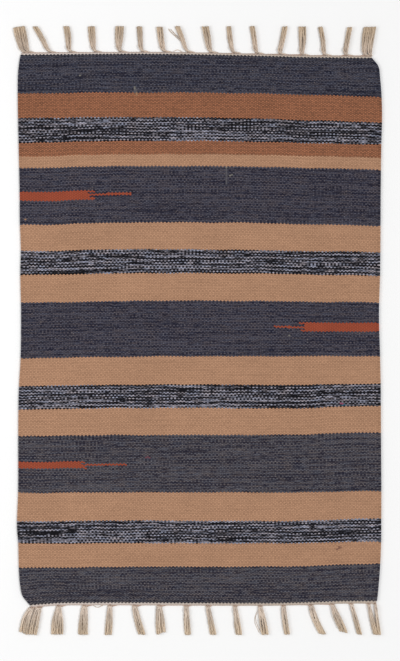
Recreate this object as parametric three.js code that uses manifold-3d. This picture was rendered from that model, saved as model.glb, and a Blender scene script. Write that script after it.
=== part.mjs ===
// A small striped kilim of weft-faced cotton, lying flat, with knotted warp fringes at both ends.
// Millimetres. X runs across the rug, Y along it, +Z up. The origin is at floor level under the middle.
import * as THREE from "three";
import { mergeVertices } from "three/addons/utils/BufferGeometryUtils.js";
import Module from "manifold-3d";

// The cloth, with a thicker rounded selvedge along each side and a groove inside it.
const clothThick = 4.0;
const selvedgeWide = 4.4;
const selvedgeHigh = 4.8;
const selvedgeFoot = 1.2;
const selvedgeTurns = [0, 0.16, 0.5, 0.84, 1];
const grooveWide = 1.2;
const grooveDeep = 0.5;
const faceSteps = 14;
const rowSteps = 28;
const cornerCrowding = 0.42;

// The plain heading beyond each end, which stands a little apart from the cloth.
const partingGap = 0.3;
const headingWide = 4.4;
const headingHigh = 3.4;
const headingShoulder = 1.9;
const headingBevel = 1.2;
const headingSteps = 56;
const fanReach = 2.0;
const fanHalfWide = 7.0;

// The knots, and the strands that run from them to the trimmed line.
const knotWide = 7.6;
const knotLong = 6.0;
const knotHigh = 4.6;
const knotOut = 1.6;
const fringeEnd = 503.7;
const trimSpread = 0.9;
const strandWide = 1.8;
const strandHigh = 1.7;
const strandGap = 0.4;
const layerGap = 0.35;
const rootPitch = 1.35;
const rootHigh = 1.25;
const rootSunk = 1.0;
const openedAt = 0.8;
const strandSteps = 3;
const mostAcross = 5;

// The side edges, from the bottom end (v = 0) to the top end (v = 1): where each stands across the rug.
const sideTable = [
  { v: 0, left: -281.4, right: 294.1 },
  { v: 0.016, left: -292.8, right: 295.8 },
  { v: 0.03, left: -296.3, right: 296.9 },
  { v: 0.06, left: -298.9, right: 299.0 },
  { v: 0.11, left: -300.2, right: 300.9 },
  { v: 0.145, left: -302.3, right: 301.1 },
  { v: 0.21, left: -300.3, right: 301.2 },
  { v: 0.31, left: -300.2, right: 300.6 },
  { v: 0.37, left: -299.8, right: 300.3 },
  { v: 0.4, left: -298.9, right: 300.1 },
  { v: 0.45, left: -296.3, right: 299.1 },
  { v: 0.53, left: -295.5, right: 297.3 },
  { v: 0.6, left: -296.8, right: 299.1 },
  { v: 0.645, left: -296.0, right: 299.6 },
  { v: 0.7, left: -297.6, right: 299.9 },
  { v: 0.75, left: -297.9, right: 300.1 },
  { v: 0.84, left: -299.6, right: 301.2 },
  { v: 0.89, left: -300.6, right: 302.4 },
  { v: 0.93, left: -301.1, right: 301.6 },
  { v: 0.965, left: -300.6, right: 299.1 },
  { v: 0.985, left: -298.8, right: 296.3 },
  { v: 1, left: -296.3, right: 286.2 },
];

// The ends of the striped cloth, from the left side (u = 0) to the right side (u = 1).
const endTable = [
  { u: 0, bottom: -454.4, top: 456.6 },
  { u: 0.04, bottom: -452.2, top: 457.0 },
  { u: 0.09, bottom: -450.2, top: 457.3 },
  { u: 0.2, bottom: -449.6, top: 457.5 },
  { u: 0.35, bottom: -449.7, top: 457.6 },
  { u: 0.5, bottom: -450.0, top: 457.3 },
  { u: 0.6, bottom: -451.0, top: 456.3 },
  { u: 0.7, bottom: -450.8, top: 454.7 },
  { u: 0.8, bottom: -449.2, top: 453.0 },
  { u: 0.9, bottom: -447.6, top: 451.5 },
  { u: 1, bottom: -447.4, top: 451.0 },
];

// One row for each tied bunch of warp ends: where its knot and its cut tip stand across the rug,
// how wide it is at the tip, how far its middle bows sideways and how much shorter it is cut.
const topBunches = [
  { knot: -293, tip: -303.5, wide: 9, bow: -0.5, short: 0.8 },
  { knot: -282.5, tip: -293, wide: 9, bow: 0.5, short: 0 },
  { knot: -249, tip: -270, wide: 9.5, bow: 1.5, short: 0.6 },
  { knot: -215.5, tip: -219.7, wide: 10.5, bow: 1.5, short: 0 },
  { knot: -175, tip: -179, wide: 11.5, bow: -0.5, short: 0.2 },
  { knot: -135.5, tip: -132, wide: 14, bow: -1, short: 0 },
  { knot: -97, tip: -99.6, wide: 9.5, bow: 0.8, short: 0.4 },
  { knot: -58, tip: -65.5, wide: 9, bow: 0, short: 1 },
  { knot: -17.7, tip: -36.8, wide: 8.5, bow: 1, short: 0 },
  { knot: 18.7, tip: 10.9, wide: 11.5, bow: 0.5, short: 0.3 },
  { knot: 56.2, tip: 48.4, wide: 9.5, bow: -0.5, short: 0 },
  { knot: 93.8, tip: 88, wide: 8.5, bow: 0.5, short: 0 },
  { knot: 131.7, tip: 142.3, wide: 8.5, bow: 0.5, short: 0.5 },
  { knot: 168.9, tip: 169.8, wide: 12.5, bow: 1.2, short: 0 },
  { knot: 205.8, tip: 201, wide: 8.5, bow: 1.5, short: 0.3 },
  { knot: 240.8, tip: 248.6, wide: 8.5, bow: -0.5, short: 0 },
  { knot: 272.6, tip: 275.2, wide: 9.5, bow: -1, short: 0 },
  { knot: 281.4, tip: 286.4, wide: 9.5, bow: 0, short: 0.2 },
];
const bottomBunches = [
  { knot: -276.5, tip: -293.5, wide: 12, bow: -1.5, short: 1.8 },
  { knot: -266, tip: -278.5, wide: 12.5, bow: -0.5, short: 0.4 },
  { knot: -233.3, tip: -235.5, wide: 16, bow: 0, short: 0.8 },
  { knot: -190, tip: -192.2, wide: 15, bow: 1, short: 0.5 },
  { knot: -148.3, tip: -150.5, wide: 11, bow: 0.5, short: 0 },
  { knot: -107.5, tip: -95.4, wide: 11.5, bow: -1, short: 0.6 },
  { knot: -67.4, tip: -63.8, wide: 14.5, bow: -0.5, short: 4.5 },
  { knot: -21.5, tip: -18.7, wide: 9, bow: -0.5, short: 0 },
  { knot: 13.6, tip: 23, wide: 9, bow: -1, short: 0 },
  { knot: 59, tip: 63.8, wide: 12, bow: 0, short: 0.3 },
  { knot: 99.1, tip: 108, wide: 11.5, bow: 0.5, short: 0.5 },
  { knot: 139.2, tip: 144, wide: 9.5, bow: -0.8, short: 0.7 },
  { knot: 184.8, tip: 205, wide: 10.5, bow: -1, short: 1.2 },
  { knot: 219.6, tip: 237.6, wide: 10.5, bow: -0.5, short: 4 },
  { knot: 251.2, tip: 264.5, wide: 9.5, bow: -0.5, short: 1 },
  { knot: 279.9, tip: 292, wide: 6.6, bow: -0.6, short: 0.2 },
  { knot: 290.6, tip: 299.4, wide: 5.4, bow: -0.6, short: 0 },
];

const wasm = await Module();
wasm.setup();

// A smooth curve through one column of a table, read at a place along its key column.
function readTable(table, key, column, at) {
  const last = table.length - 1;
  let i = 0;
  while (i < last - 1 && table[i + 1][key] < at) i += 1;
  const slopeAt = (k) => {
    const before = table[Math.max(k - 1, 0)];
    const after = table[Math.min(k + 1, last)];
    return (after[column] - before[column]) / (after[key] - before[key]);
  };
  const [a, b] = [table[i], table[i + 1]];
  const span = b[key] - a[key];
  const t = (at - a[key]) / span;
  const rise = b[column] - a[column];
  const startSlope = slopeAt(i) * span - rise;
  const endSlope = rise - slopeAt(i + 1) * span;
  return a[column] + t * rise + t * (1 - t) * ((1 - t) * startSlope + t * endSlope);
}

// A place on the cloth, from its share across (u) and its share along (v).
function onCloth(u, v) {
  const left = readTable(sideTable, "v", "left", v);
  const right = readTable(sideTable, "v", "right", v);
  const bottom = readTable(endTable, "u", "bottom", u);
  const top = readTable(endTable, "u", "top", u);
  return new THREE.Vector2(THREE.MathUtils.lerp(left, right, u), THREE.MathUtils.lerp(bottom, top, v));
}

// A closed body from rings of points: each ring joins the next, and both end rings are zipped shut.
function loft(rings) {
  const around = rings[0].length;
  const positions = rings.flat().flatMap((p) => p.toArray());
  const index = [];
  for (let r = 0; r < rings.length - 1; r += 1) {
    for (let k = 0; k < around; k += 1) {
      const a = r * around + k;
      const b = r * around + ((k + 1) % around);
      index.push(a, b, a + around, b, b + around, a + around);
    }
  }
  const lastRing = (rings.length - 1) * around;
  for (let near = 0, far = around - 1; far - near > 1; near += 1, far -= 1) {
    index.push(near, far, near + 1);
    index.push(lastRing + near, lastRing + near + 1, lastRing + far);
    if (far - near > 2) {
      index.push(near + 1, far, far - 1);
      index.push(lastRing + near + 1, lastRing + far - 1, lastRing + far);
    }
  }
  const geometry = new THREE.BufferGeometry();
  geometry.setAttribute("position", new THREE.Float32BufferAttribute(positions, 3));
  geometry.setIndex(index);
  return geometry;
}

// A merged, closed geometry as a solid that can be joined, turned outwards if its rings ran the other way.
function toSolid(geometry) {
  const bare = geometry.clone();
  bare.deleteAttribute("normal");
  bare.deleteAttribute("uv");
  const merged = mergeVertices(bare, 1e-4);
  const triVerts = new Uint32Array(merged.index.array);
  const vertProperties = new Float32Array(merged.attributes.position.array);
  const solid = new wasm.Manifold(new wasm.Mesh({ numProp: 3, vertProperties, triVerts }));
  if (solid.volume() > 0) return solid;
  for (let i = 0; i < triVerts.length; i += 3) {
    [triVerts[i + 1], triVerts[i + 2]] = [triVerts[i + 2], triVerts[i + 1]];
  }
  return new wasm.Manifold(new wasm.Mesh({ numProp: 3, vertProperties, triVerts }));
}

function toGeometry(solid) {
  const mesh = solid.getMesh();
  const geometry = new THREE.BufferGeometry();
  geometry.setAttribute("position", new THREE.BufferAttribute(mesh.vertProperties, mesh.numProp));
  geometry.setIndex(new THREE.BufferAttribute(mesh.triVerts, 1));
  return geometry;
}

// How high the cloth's face stands at a distance in from its side edge: a round rib, a groove, then flat.
function faceHeight(inFromEdge) {
  if (inFromEdge < selvedgeWide) {
    const ribShare = inFromEdge / selvedgeWide;
    const arch = Math.sqrt(Math.max(0, 1 - (2 * ribShare - 1) ** 2));
    const foot = THREE.MathUtils.lerp(selvedgeFoot, clothThick - grooveDeep, ribShare);
    return THREE.MathUtils.lerp(foot, selvedgeHigh, arch);
  }
  const acrossGroove = Math.min((inFromEdge - selvedgeWide) / grooveWide, 1);
  return clothThick - grooveDeep * (1 - acrossGroove);
}

// The shares across at which the cloth's cross-section turns: its two selvedges and the face between.
function turnsAcross(wide) {
  const places = selvedgeTurns.map((share) => share * selvedgeWide);
  places.push(selvedgeWide + grooveWide);
  const innerEdge = (selvedgeWide + grooveWide) / wide;
  const shares = places.map((place) => place / wide);
  for (let i = 1; i < faceSteps; i += 1) {
    shares.push(THREE.MathUtils.lerp(innerEdge, 1 - innerEdge, i / faceSteps));
  }
  for (const place of places.reverse()) shares.push(1 - place / wide);
  return shares;
}

// The cloth's face from side to side at one place along it.
function faceLine(v) {
  const wide = onCloth(1, v).x - onCloth(0, v).x;
  return turnsAcross(wide).map((u) => {
    const { x, y } = onCloth(u, v);
    return new THREE.Vector3(x, y, faceHeight(Math.min(u, 1 - u) * wide));
  });
}

// The striped cloth: one sheet with a flat underside, its cross-sections crowded towards the corners.
function makeCloth() {
  const rings = [];
  for (let i = 0; i <= rowSteps; i += 1) {
    const even = i / rowSteps;
    const crowded = (1 - Math.cos(Math.PI * even)) / 2;
    const over = faceLine(THREE.MathUtils.lerp(even, crowded, cornerCrowding));
    const under = over.map((p) => new THREE.Vector3(p.x, p.y, 0)).reverse();
    rings.push([...over, ...under]);
  }
  return toGeometry(toSolid(loft(rings)));
}

// How far along the rug one end of the cloth lies at x, on the straight runs between its turns.
function endAt(x, v) {
  const line = faceLine(v);
  const i = THREE.MathUtils.clamp(line.findIndex((p) => p.x >= x), 1, line.length - 1);
  const [a, b] = [line[i - 1], line[i]];
  return THREE.MathUtils.lerp(a.y, b.y, THREE.MathUtils.clamp((x - a.x) / (b.x - a.x), 0, 1));
}

// The plain cream heading, which swells where the warps draw together towards each knot.
function makeHeading(bunches, v, outwards) {
  const rings = [];
  for (let i = 0; i <= headingSteps; i += 1) {
    const x = THREE.MathUtils.lerp(onCloth(0, v).x, onCloth(1, v).x, i / headingSteps);
    const y = endAt(x, v);
    const nearest = Math.min(...bunches.map((bunch) => Math.abs(bunch.knot - x)));
    const fan = fanReach * Math.exp(-((nearest / fanHalfWide) ** 2));
    const inner = y + outwards * partingGap;
    const outer = inner + outwards * (headingWide + fan);
    const brow = outer - outwards * headingBevel;
    rings.push([
      new THREE.Vector3(x, inner, 0),
      new THREE.Vector3(x, inner, headingHigh),
      new THREE.Vector3(x, brow, headingHigh),
      new THREE.Vector3(x, outer, headingShoulder),
      new THREE.Vector3(x, outer, 0),
    ]);
  }
  return toSolid(loft(rings));
}

// Where a bunch leaves the heading: the outer edge of the heading beside its knot.
function headingEdge(x, v, outwards) {
  return endAt(x, v) + outwards * (partingGap + headingWide);
}

// A warp knot: a squashed ball half sunk in the heading.
function makeKnot(bunch, v, outwards) {
  const ball = new THREE.SphereGeometry(0.5, 6, 4);
  ball.rotateX(Math.PI / 2);
  const wide = Math.min(knotWide, bunch.wide);
  ball.scale(wide, knotLong, knotHigh);
  ball.translate(bunch.knot, headingEdge(bunch.knot, v, outwards) + outwards * knotOut, knotHigh / 2);
  return toSolid(ball);
}

// The strands of one bunch: three-sided, one layer flat on the floor and a smaller one above it.
function makeStrands(bunch, v, outwards) {
  const root = headingEdge(bunch.knot, v, outwards) - outwards * rootSunk;
  const across = Math.min(mostAcross, Math.max(2, Math.round(bunch.wide / (strandWide + strandGap))));
  const tipPitch = (bunch.wide - strandWide) / (across - 1);
  const strands = [];
  for (const layer of [0, 1]) {
    const count = layer === 0 ? across : Math.max(1, across - 2);
    for (let k = 0; k < count; k += 1) {
      const place = k - (count - 1) / 2;
      const trim = trimSpread * Math.abs(Math.sin(bunch.knot + 2.3 * k + 1.7 * layer));
      const tip = outwards * (fringeEnd - bunch.short - trim);
      const rings = [];
      for (let i = 0; i <= strandSteps; i += 1) {
        const t = i / strandSteps;
        const opened = Math.sin((Math.PI / 2) * Math.min(1, t / openedAt));
        const pitch = THREE.MathUtils.lerp(rootPitch, tipPitch, opened);
        const wide = Math.min(strandWide, pitch - strandGap);
        const high = THREE.MathUtils.lerp(rootHigh, strandHigh, opened);
        const sway = bunch.bow * Math.sin(Math.PI * t);
        const x = THREE.MathUtils.lerp(bunch.knot, bunch.tip, t) + sway + place * pitch;
        const y = THREE.MathUtils.lerp(root, tip, t);
        const z = layer * (high + layerGap);
        rings.push([
          new THREE.Vector3(x - wide / 2, y, z),
          new THREE.Vector3(x + wide / 2, y, z),
          new THREE.Vector3(x, y, z + high),
        ]);
      }
      strands.push(toSolid(loft(rings)));
    }
  }
  return strands;
}

// One whole fringe: heading, knots and strands fused into one body along one end of the cloth.
function makeFringe(bunches, v, outwards) {
  const pieces = [makeHeading(bunches, v, outwards)];
  for (const bunch of bunches) {
    pieces.push(makeKnot(bunch, v, outwards), ...makeStrands(bunch, v, outwards));
  }
  return toGeometry(pieces.reduce((whole, piece) => whole.add(piece)));
}

const clothCotton = new THREE.MeshStandardMaterial({ color: 0x4a4b58, roughness: 0.92, metalness: 0 });
const warpCotton = new THREE.MeshStandardMaterial({ color: 0xcdb795, roughness: 0.95, metalness: 0 });

function named(name, geometry, material) {
  const mesh = new THREE.Mesh(geometry, material);
  mesh.name = name;
  return mesh;
}

const rug = new THREE.Group();
rug.name = "kilim_rug";
rug.add(named("woven_body", makeCloth(), clothCotton));
rug.add(named("fringe_top", makeFringe(topBunches, 1, 1), warpCotton));
rug.add(named("fringe_bottom", makeFringe(bottomBunches, 0, -1), warpCotton));

const extent = new THREE.Box3().setFromObject(rug);
const middle = extent.getCenter(new THREE.Vector3());
rug.position.set(-middle.x, -middle.y, -extent.min.z);

export default rug;
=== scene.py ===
# Small striped kilim of weft-faced cotton, lying flat, with knotted warp fringes, seen from straight above.
import math
import bmesh
import bpy
import numpy as np
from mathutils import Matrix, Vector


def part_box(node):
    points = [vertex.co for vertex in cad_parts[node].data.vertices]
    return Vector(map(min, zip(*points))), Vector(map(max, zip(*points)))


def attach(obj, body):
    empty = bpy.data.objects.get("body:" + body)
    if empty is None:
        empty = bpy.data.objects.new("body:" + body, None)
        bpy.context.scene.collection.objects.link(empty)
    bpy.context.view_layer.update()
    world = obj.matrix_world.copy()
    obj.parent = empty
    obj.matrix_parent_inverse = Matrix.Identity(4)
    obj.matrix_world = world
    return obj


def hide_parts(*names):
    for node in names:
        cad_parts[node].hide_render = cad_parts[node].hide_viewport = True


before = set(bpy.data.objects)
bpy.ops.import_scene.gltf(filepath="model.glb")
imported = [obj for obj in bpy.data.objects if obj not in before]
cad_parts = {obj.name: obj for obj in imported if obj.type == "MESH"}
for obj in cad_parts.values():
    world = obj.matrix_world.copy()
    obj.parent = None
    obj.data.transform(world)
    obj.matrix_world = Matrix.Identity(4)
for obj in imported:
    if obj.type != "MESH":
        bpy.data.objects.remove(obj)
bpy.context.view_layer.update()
print("frame loaded with", ", ".join(sorted(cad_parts)))

mm = 0.001  # every size below is in millimetres unless its note says otherwise


# A material and its nodes: a plain number goes on a socket, and anything else is linked to it
class Paint:
    noiseSpan = (0.3, 0.7)  # most of a noise lies between these

    def __init__(self, name):
        self.material = bpy.data.materials.new(name)
        self.material.use_nodes = True
        self.tree = self.material.node_tree
        self.surface = self.tree.nodes["Principled BSDF"].inputs

    def feed(self, socket, value):
        if isinstance(value, (int, float, tuple)):
            socket.default_value = value
        else:
            self.tree.links.new(value, socket)

    def add(self, kind, feeds=(), **settings):
        node = self.tree.nodes.new("ShaderNode" + kind)
        for setting, value in settings.items():
            setattr(node, setting, value)
        for socket, value in dict(feeds).items():
            self.feed(node.inputs[socket], value)
        return node

    def calc(self, operation, *values):
        return self.add("Math", enumerate(values), operation=operation).outputs[0]

    def times(self, first, second):
        return self.calc("MULTIPLY", first, second)

    def timesPlus(self, first, second, third):
        return self.calc("MULTIPLY_ADD", first, second, third)

    def less(self, first, second):
        return self.calc("SUBTRACT", first, second)

    # scale is how many waves there are to a unit across and along
    def noise(self, across, along, scale=(1, 1), detail=0.0):
        spot = [value if by == 1 else self.times(value, by) for value, by in zip((across, along), scale)]
        place = self.add("CombineXYZ", enumerate(spot))
        feeds = {"Vector": place.outputs[0], "Scale": 1.0, "Detail": detail}
        return self.add("TexNoise", feeds, noise_dimensions="2D").outputs["Fac"]

    def stretch(self, value, low, high, toLow=0.0, toHigh=1.0):
        return self.add("MapRange", enumerate((value, low, high, toLow, toHigh))).outputs["Result"]

    # the mix node's sockets go by number: 0 the factor, 6 and 7 the two colours, 2 the colour that comes out
    def mixed(self, amount, first, second, blend="MIX"):
        feeds = {0: amount, 6: first, 7: second}
        return self.add("Mix", feeds, data_type="RGBA", blend_type=blend).outputs[2]

    def shaded(self, colour, level):
        grey = self.add("CombineColor", enumerate((level, level, level)))
        return self.mixed(1.0, colour, grey.outputs[0], "MULTIPLY")

    def yarnPlace(self):
        place = self.add("UVMap", uv_map="yarnPlace")
        return self.add("SeparateXYZ", {0: place.outputs[0]}).outputs[:2]

    def finish(self, colour, height, look):
        bump = self.add("Bump", {"Distance": look["bumpHigh"] * mm, "Height": height})
        for name, value in {"Base Color": colour, "Normal": bump.outputs[0], **look["surface"]}.items():
            self.feed(self.surface[name], value)
        return self.material


def dye(red, green, blue):  # a colour as it reads on a screen
    def linear(part):
        part = part / 255
        return part / 12.92 if part <= 0.04045 else ((part + 0.055) / 1.055) ** 2.4

    return (linear(red), linear(green), linear(blue), 1.0)


# Camera, light and floor
studio = {
    "lens": 85.0,
    "sensor": 36.0,
    "pictureHigh": 661,  # pixels
    "rugPerPixel": 1.657,  # and how much of the rug one of them shows
    "lookAt": (3.63, 0.0),
    "skyStrength": 0.555,
    # soft boxes: watts, size and place in metres from the middle of the rug
    "boxes": {
        "keyLight": (172.0, 1.9, (4.0, -0.3, 6.2)),
        "fillLight": (10.5, 0.9, (-1.45, 0.1, 1.45)),
    },
    "floorTone": 0.99,
    "floorRoughness": 0.9,
    "floorSize": 14.0,  # metres
    "floorDrop": 0.05,
}


def makeCamera():
    scene = bpy.context.scene
    scene.view_settings.view_transform = "Standard"
    camera = bpy.data.objects.new("lookingDown", bpy.data.cameras.new("lookingDown"))
    camera.data.lens = studio["lens"]
    camera.data.sensor_fit = "VERTICAL"
    camera.data.sensor_height = studio["sensor"]
    seen = studio["pictureHigh"] * studio["rugPerPixel"]  # from the top to the foot of the picture
    x, y = studio["lookAt"]
    away = studio["lens"] * seen / studio["sensor"]
    camera.location = (x * mm, y * mm, away * mm)
    scene.collection.objects.link(camera)
    scene.camera = camera


def makeLight():
    scene = bpy.context.scene
    sky = bpy.data.worlds.new("paleSky")
    sky.use_nodes = True
    sky.node_tree.nodes["Background"].inputs["Color"].default_value = (1, 1, 1, 1)
    sky.node_tree.nodes["Background"].inputs["Strength"].default_value = studio["skyStrength"]
    scene.world = sky
    for name, (power, size, place) in studio["boxes"].items():
        box = bpy.data.objects.new(name, bpy.data.lights.new(name, "AREA"))
        box.data.energy = power
        box.data.size = size
        box.location = place
        box.rotation_euler = (-box.location).to_track_quat("-Z", "Y").to_euler()
        scene.collection.objects.link(box)


def makeFloor():
    half = studio["floorSize"] / 2
    mesh = bpy.data.meshes.new("floor")
    corners = [(-half, -half, 0), (half, -half, 0), (half, half, 0), (-half, half, 0)]
    mesh.from_pydata(corners, [], [(0, 1, 2, 3)])
    floor = bpy.data.objects.new("floor", mesh)
    floor.location.z = -studio["floorDrop"] * mm
    tone = studio["floorTone"]
    paint = Paint("paleFloor")
    paint.feed(paint.surface["Base Color"], (tone, tone, tone, 1))
    paint.feed(paint.surface["Roughness"], studio["floorRoughness"])
    mesh.materials.append(paint.material)
    bpy.context.scene.collection.objects.link(floor)


makeCamera()
makeLight()
makeFloor()
print("camera, light and floor are up")


# The cloth: its outline, its stripes and how thick it is
cloth = {
    # share along, left edge, right edge
    "sides": [
        (0, -281.4, 294.1), (0.016, -292.8, 295.8), (0.03, -296.3, 296.9), (0.06, -298.9, 299.0),
        (0.11, -300.2, 300.9), (0.145, -302.3, 301.1), (0.21, -300.3, 301.2), (0.31, -300.2, 300.6),
        (0.37, -299.8, 300.3), (0.4, -298.9, 300.1), (0.45, -296.3, 299.1), (0.53, -295.5, 297.3),
        (0.6, -296.8, 299.1), (0.645, -296.0, 299.6), (0.7, -297.6, 299.9), (0.75, -297.9, 300.1),
        (0.84, -299.6, 301.2), (0.89, -300.6, 302.4), (0.93, -301.1, 301.6), (0.965, -300.6, 299.1),
        (0.985, -298.8, 296.3), (1, -296.3, 286.2),
    ],
    # share across, lower end, upper end
    "ends": [
        (0, -454.4, 456.4), (0.04, -452.4, 456.6), (0.09, -450.7, 456.9), (0.2, -450.2, 457.4),
        (0.35, -450.3, 457.8), (0.5, -450.8, 456.9), (0.6, -451.0, 455.7), (0.7, -451.0, 454.2),
        (0.8, -449.7, 452.3), (0.9, -447.6, 451.6), (1, -447.4, 451.0),
    ],
    # from the upper end down: yarn, picks, the height of the stripe's lower edge at the left and right
    # side, then how far that edge arches up in the middle and how far it sags right of the middle
    "stripes": [
        ("slateTop", 46, 392.4, 386.6, 4.3, 0.0),
        ("rust", 29, 352.3, 343.5, 4.3, 0.0),
        ("marl", 30, 311.5, 307.5, 4.8, 0.0),
        ("rust", 15, 288.0, 285.5, 5.3, 0.0),
        ("tan", 14, 269.1, 265.3, 5.0, 0.0),
        ("slate", 69, 175.0, 172.8, 5.1, 0.0),
        ("tan", 33, 131.7, 129.7, 4.2, 1.0),
        ("marl", 29, 92.0, 90.1, 4.2, 0.0),
        ("tan", 33, 46.2, 46.7, 3.5, 0.8),
        ("slate", 68, -46.1, -42.4, 2.2, 0.6),
        ("tan", 35, -91.6, -88.0, 1.6, 2.2),
        ("marl", 30, -130.4, -124.4, 0.8, 3.0),
        ("tan", 31, -174.8, -168.5, 0.0, 2.0),
        ("slateLow", 70, -268.4, -265.3, 0.0, 1.6),
        ("tan", 34, -315.8, -310.7, 0.0, 2.9),
        ("marl", 28, -352.3, -349.5, 0.0, 1.5),
        ("tan", 28, -392.9, -385.2, 0.0, 3.0),
        ("slateLow", 44, None, None, 0.0, 0.0),  # ends where the cloth ends
    ],
    "archShape": [
        (0, 0), (0.1, 0.12), (0.16, 0.48), (0.21, 0.6), (0.29, 0.8), (0.36, 0.88), (0.43, 0.97),
        (0.5, 1), (0.57, 0.95), (0.64, 0.9), (0.71, 0.77), (0.79, 0.53), (0.84, 0.46), (0.9, 0.32),
        (0.96, 0.14), (1, 0),
    ],
    "sagShape": [
        (0, 0), (0.3, 0.05), (0.5, 0.5), (0.64, 0.9), (0.72, 1), (0.8, 0.93), (0.86, 0.5), (0.92, 0.15),
        (1, 0),
    ],
    "warps": 196,  # between the selvedges
    "pickPitch": 1.36,
    "picksPerRow": 10,  # from one row of the face's points to the next
    "pointsPerWarp": {"over": 4, "under": 2},
    "thick": 4.0,
    "ribRelief": 0.32,
    "ribFullness": 0.6,
    "underRelief": 0.4,
    "selvedgeIn": 5.0,  # from the side to the bottom of its groove
    "selvedgeWide": 4.4,
    "selvedgeHigh": 4.8,
    "grooveHigh": 3.45,
    "grooveLow": 0.55,
    "wrapDip": 0.09,  # share by which the selvedge draws in between two turns of the weft
    "wrapEdge": 0.02,  # share of a warp left out at each edge of the selvedge's wrap
    "waver": 0.45,  # how far a pick strays from its even line
    "waverWaves": (11, 190, 24),  # seed, longest and shortest wave
    "waverFades": 30,  # how soon the straying sets in from each end
    "unevenness": 0.2,
    "unevenWaves": (3, 260, 45),
}

pickEdges = np.cumsum([0] + [stripe[1] for stripe in cloth["stripes"]])
allPicks = int(pickEdges[-1])
lastWarp = cloth["warps"] + 1  # the left selvedge counts as warp 0 and the right one as the last


# A smooth curve through one column of a table, read at places along its first column
def readTable(rows, column, at):
    key = np.array([row[0] for row in rows], float)
    value = np.array([row[column] for row in rows], float)
    at = np.asarray(at, float)
    i = np.clip(np.searchsorted(key, at, side="left") - 1, 0, len(key) - 2)
    before = np.maximum(np.arange(len(key)) - 1, 0)
    after = np.minimum(np.arange(len(key)) + 1, len(key) - 1)
    slope = (value[after] - value[before]) / (key[after] - key[before])
    span = key[i + 1] - key[i]
    t = (at - key[i]) / span
    rise = value[i + 1] - value[i]
    start = slope[i] * span - rise
    end = rise - slope[i + 1] * span
    return value[i] + t * rise + t * (1 - t) * ((1 - t) * start + t * end)


# Arrays side by side in a new last axis
def together(*arrays):
    return np.stack(np.broadcast_arrays(*arrays), -1)


# Points round an oval in a map, for a cut end
def oval(count, across, along, wide, tall):
    lap = np.arange(count) / count * 2 * math.pi
    return across + wide * np.cos(lap), along + tall * np.sin(lap)


# Gentle waves in many directions, about -1 to 1
def gentleWaves(x, y, seed, longest, shortest, count=9):
    draw = np.random.default_rng(seed)
    total = np.zeros(np.broadcast(x, y).shape)
    for k in range(count):
        wave = longest * (shortest / longest) ** (k / (count - 1))
        turn, phase = draw.uniform(0, math.pi), draw.uniform(0, 2 * math.pi)
        total += np.sin(2 * math.pi * (x * math.cos(turn) + y * math.sin(turn)) / wave + phase)
    return total / math.sqrt(count)


# Where every stripe edge lies along the rug, from the upper end down
def stripeEdges(u):
    arch, sag = readTable(cloth["archShape"], 1, u), readTable(cloth["sagShape"], 1, u)
    edges = [readTable(cloth["ends"], 2, u)]
    for yarn, picks, left, right, lift, drop in cloth["stripes"][:-1]:
        edges.append(left + (right - left) * u + lift * arch - drop * sag)
    edges.append(readTable(cloth["ends"], 1, u))
    return edges


# Where a pick lies along the rug; picks below 0 or past the last one are in the headings
def alongAtPick(u, pick):
    edges = stripeEdges(u)
    y = edges[0]
    for i in range(len(edges) - 1):
        share = np.clip((pick - pickEdges[i]) / (pickEdges[i + 1] - pickEdges[i]), 0, 1)
        y = y + share * (edges[i + 1] - edges[i])
    past = np.maximum(-pick, 0) - np.maximum(pick - allPicks, 0)
    return y + cloth["pickPitch"] * past


# A place on the cloth; reachAt(wide) gives the distance in from the left side
def clothPlace(reachAt, pick):
    share = np.clip(1 - pick / allPicks, 0, 1)
    v = share
    for _ in range(4):  # u and v settle in a few rounds
        left, right = readTable(cloth["sides"], 1, v), readTable(cloth["sides"], 2, v)
        reach = reachAt(right - left)
        u = np.clip(reach / (right - left), 0, 1)
        y = alongAtPick(u, pick)
        bottom, top = readTable(cloth["ends"], 1, u), readTable(cloth["ends"], 2, u)
        v = np.clip((y - bottom) / (top - bottom), 0, 1)
    fade = np.minimum(1, cloth["waverFades"] * share * (1 - share))
    return left + reach, y + cloth["waver"] * gentleWaves(left + reach, y, *cloth["waverWaves"]) * fade


# How far in a warp lies: the selvedges are warp 0 and the last one, and the rest are evenly spaced
def warpReach(warp, wide):
    inner = cloth["selvedgeIn"]
    between = inner + (warp - 1) / cloth["warps"] * (wide - 2 * inner)
    pastLast = wide + (warp - lastWarp - 1) * inner
    return np.where(warp < 1, warp * inner, np.where(warp > lastWarp, pastLast, between))


def warpPlace(warp, pick):
    warp, pick = np.broadcast_arrays(np.asarray(warp, float), np.asarray(pick, float))
    return clothPlace(lambda wide: warpReach(warp, wide), pick)


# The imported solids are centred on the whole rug, so the tables move over by what the cloth's box says
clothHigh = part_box("woven_body")[1]
shiftX = clothHigh.x / mm - max(row[2] for row in cloth["sides"])
shiftY = clothHigh.y / mm - max(row[2] for row in cloth["ends"])


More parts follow.
